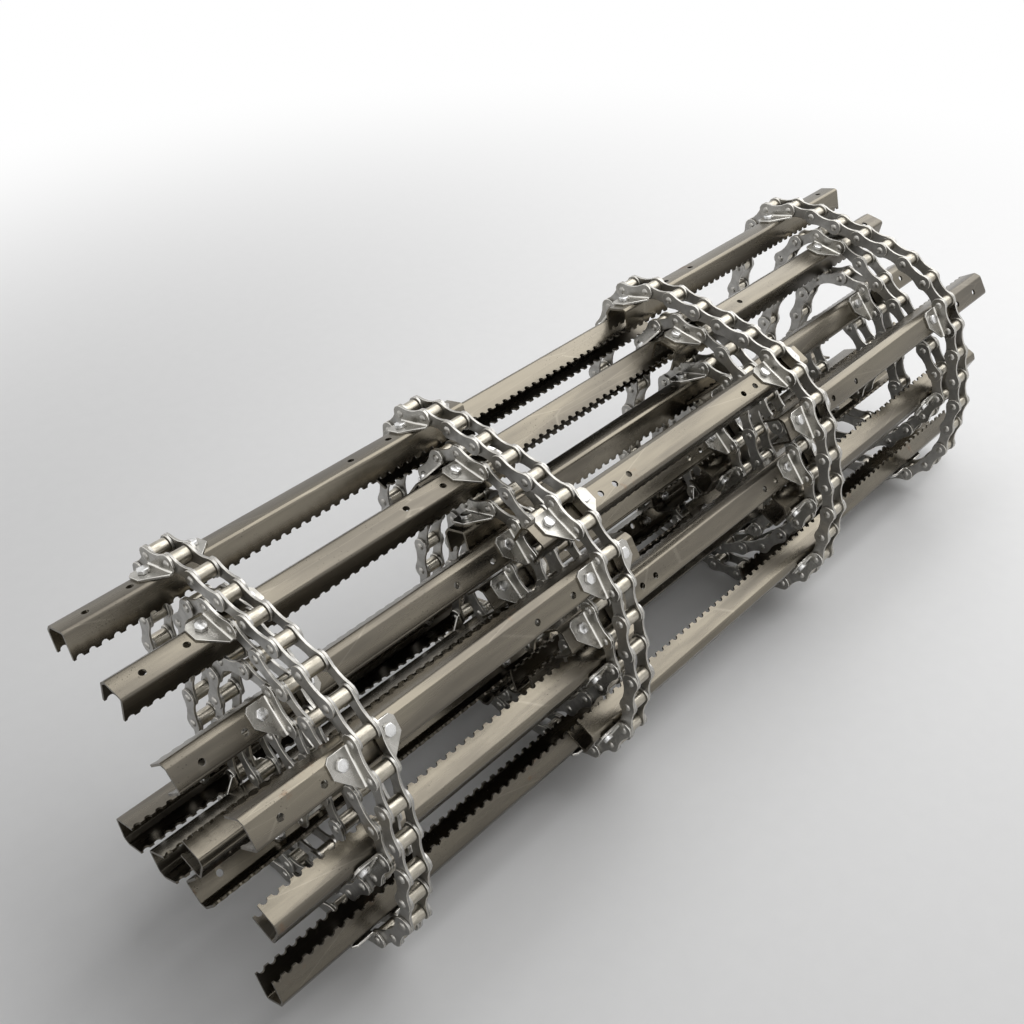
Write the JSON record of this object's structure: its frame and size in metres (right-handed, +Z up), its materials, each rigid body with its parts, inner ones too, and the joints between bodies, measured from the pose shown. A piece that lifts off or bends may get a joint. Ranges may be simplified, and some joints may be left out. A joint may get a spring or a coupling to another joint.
{
  "type": "conveyor chain",
  "caption": "Rolled-up feeder conveyor chain: parallel roller chain strands joined by serrated channel slats bolted to bent ears, with a loose outer end.",
  "frame": {"origin": "on the floor under the middle of the roll", "axes": "+X along the pins and slats, +Y to the back, +Z up"},
  "size_m": [1.458, 0.4422, 0.4306],
  "materials": {
    "slat_steel": "oiled rolled steel",
    "plate_steel": "oiled, hardened",
    "ear_steel": "bright blanked",
    "roller_steel": "ground",
    "pin_steel": "riveted heads",
    "zinc_plate": "bright zinc plate"
  },
  "bodies": {
    "rolled_chain": {"wound_ear_plates": "ear_steel", "wound_left_slats": "slat_steel", "wound_middle_slats": "slat_steel", "wound_outer_plates": "plate_steel", "wound_right_slats": "slat_steel", "wound_slat_bolts": "zinc_plate", "wound_strand_1": "plate_steel", "wound_strand_2": "plate_steel", "wound_strand_3": "plate_steel", "wound_strand_4": "plate_steel"},
    "link_row_1": {"left_slat_1": "slat_steel", "outer_plates_1": "plate_steel", "pins_1": "pin_steel", "right_slat_1": "slat_steel", "slat_bolts_1": "zinc_plate", "slat_nuts_1": "zinc_plate"},
    "link_row_2": {"bushes_2": "pin_steel", "inner_plates_2": "plate_steel"},
    "link_row_3": {"middle_slat_3": "slat_steel", "outer_plates_3": "plate_steel", "pins_3": "pin_steel", "slat_bolts_3": "zinc_plate", "slat_nuts_3": "zinc_plate"},
    "link_row_4": {"bushes_4": "pin_steel", "inner_plates_4": "plate_steel"},
    "link_row_5": {"outer_plates_5": "plate_steel", "pins_5": "pin_steel"},
    "link_row_6": {"bushes_6": "pin_steel", "inner_plates_6": "plate_steel"},
    "roller_row_2": {"rollers_2": "roller_steel"},
    "roller_row_3": {"rollers_3": "roller_steel"},
    "roller_row_4": {"rollers_4": "roller_steel"},
    "roller_row_5": {"rollers_5": "roller_steel"},
    "roller_row_6": {"rollers_6": "roller_steel"},
    "roller_row_7": {"rollers_7": "roller_steel"}
  },
  "joints": [
    {"name": "link_1_hinge", "type": "hinge", "parent": "rolled_chain", "child": "link_row_1", "pos_m": [0, 0.12228, 0.41686], "axis": [1, 0, 0], "range_deg": [0, 25]},
    {"name": "link_2_hinge", "type": "hinge", "parent": "link_row_1", "child": "link_row_2", "pos_m": [0, 0.16222, 0.40597], "axis": [1, 0, 0], "range_deg": [0, 53]},
    {"name": "link_3_hinge", "type": "hinge", "parent": "link_row_2", "child": "link_row_3", "pos_m": [0, 0.18521, 0.37154], "axis": [1, 0, 0], "range_deg": [0, 29]},
    {"name": "link_4_hinge", "type": "hinge", "parent": "link_row_3", "child": "link_row_4", "pos_m": [0, 0.19714, 0.33189], "axis": [1, 0, 0], "range_deg": [0, 23]},
    {"name": "link_5_hinge", "type": "hinge", "parent": "link_row_4", "child": "link_row_5", "pos_m": [0, 0.20128, 0.2907], "axis": [1, 0, 0], "range_deg": [0, 12]},
    {"name": "link_6_hinge", "type": "hinge", "parent": "link_row_5", "child": "link_row_6", "pos_m": [0, 0.20542, 0.24951], "axis": [1, 0, 0], "range_deg": [0, 12]},
    {"name": "roller_2_spin", "type": "hinge", "parent": "link_row_2", "child": "roller_row_2", "pos_m": [0, 0.16222, 0.40597], "axis": [1, 0, 0], "continuous": true},
    {"name": "roller_3_spin", "type": "hinge", "parent": "link_row_2", "child": "roller_row_3", "pos_m": [0, 0.18521, 0.37154], "axis": [1, 0, 0], "continuous": true},
    {"name": "roller_4_spin", "type": "hinge", "parent": "link_row_4", "child": "roller_row_4", "pos_m": [0, 0.19714, 0.33189], "axis": [1, 0, 0], "continuous": true},
    {"name": "roller_5_spin", "type": "hinge", "parent": "link_row_4", "child": "roller_row_5", "pos_m": [0, 0.20128, 0.2907], "axis": [1, 0, 0], "continuous": true},
    {"name": "roller_6_spin", "type": "hinge", "parent": "link_row_6", "child": "roller_row_6", "pos_m": [0, 0.20542, 0.24951], "axis": [1, 0, 0], "continuous": true},
    {"name": "roller_7_spin", "type": "hinge", "parent": "link_row_6", "child": "roller_row_7", "pos_m": [0, 0.20956, 0.20832], "axis": [1, 0, 0], "continuous": true}
  ]
}
